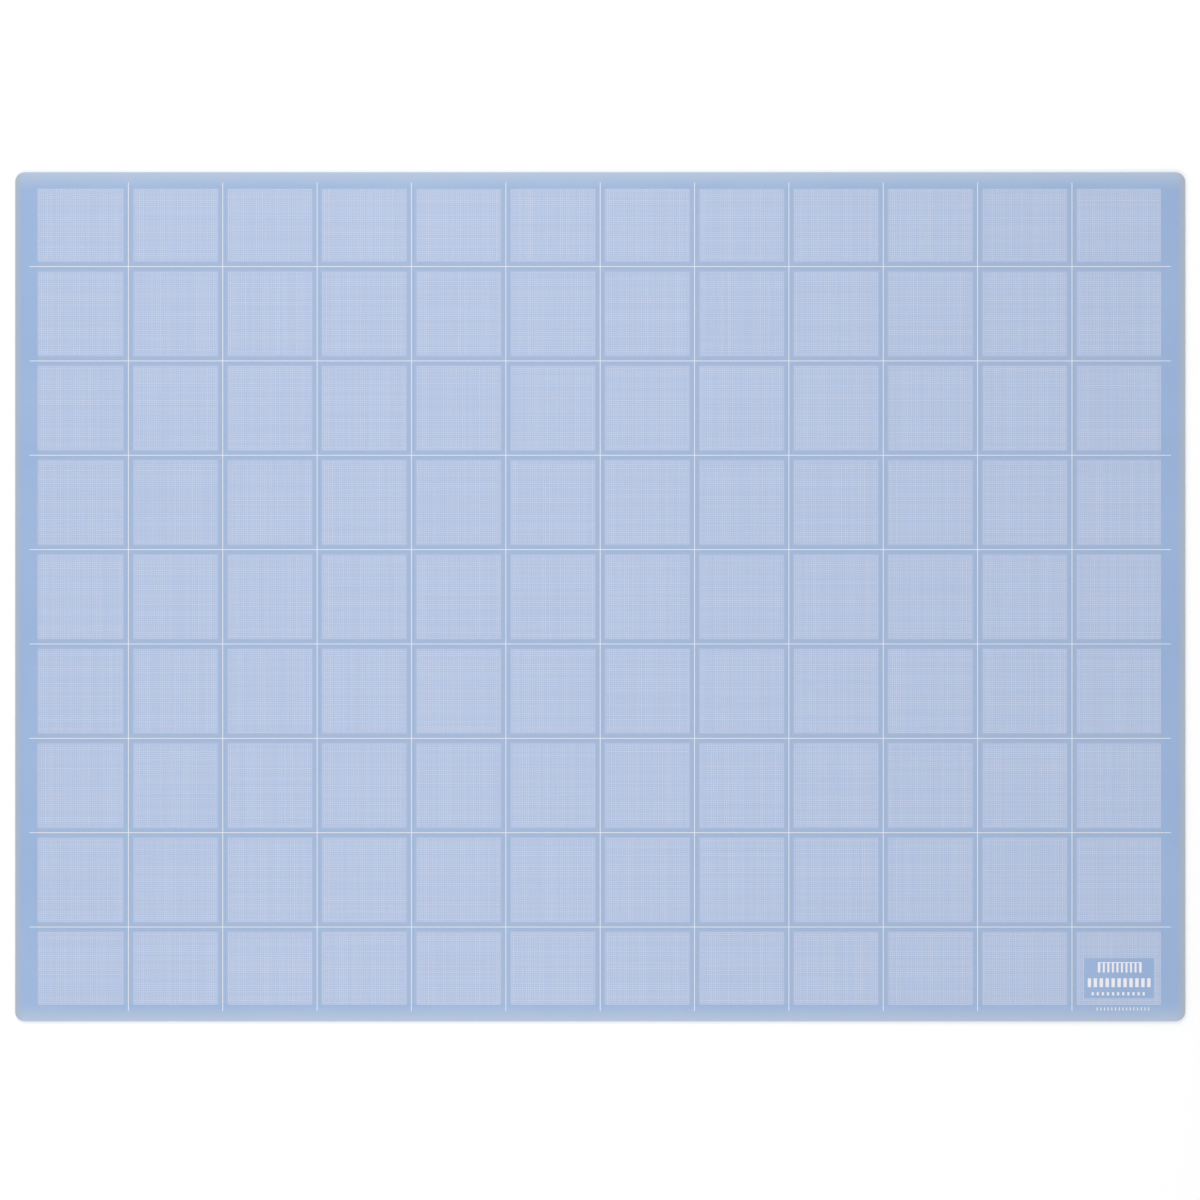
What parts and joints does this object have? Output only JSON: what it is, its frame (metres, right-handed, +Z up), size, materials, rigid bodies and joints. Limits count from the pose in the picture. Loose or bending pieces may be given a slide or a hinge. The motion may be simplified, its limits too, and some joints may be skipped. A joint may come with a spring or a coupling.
{
  "type": "self healing cutting mat",
  "caption": "Flat rectangular self-healing cutting mat in translucent blue plastic, with a printed white 50 mm square grid and 1 mm hairlines.",
  "frame": {"origin": "middle of the underside, which lies on the bench", "axes": "+X along the long side, +Y along the short side, away from the edge that carries the label, +Z up out of the printed cutting face"},
  "size_m": [0.62, 0.45, 0.002],
  "materials": {
    "soft_skin": "satin",
    "stiff_core": "satin",
    "white_ink": "matte",
    "hairline_field": "matte"
  },
  "bodies": {
    "root": {"bottom_skin": "soft_skin", "core_sheet": "stiff_core", "top_skin": "soft_skin", "main_grid_print": "white_ink", "fine_grid_print": "hairline_field", "label_print": "white_ink"}
  },
  "joints": []
}
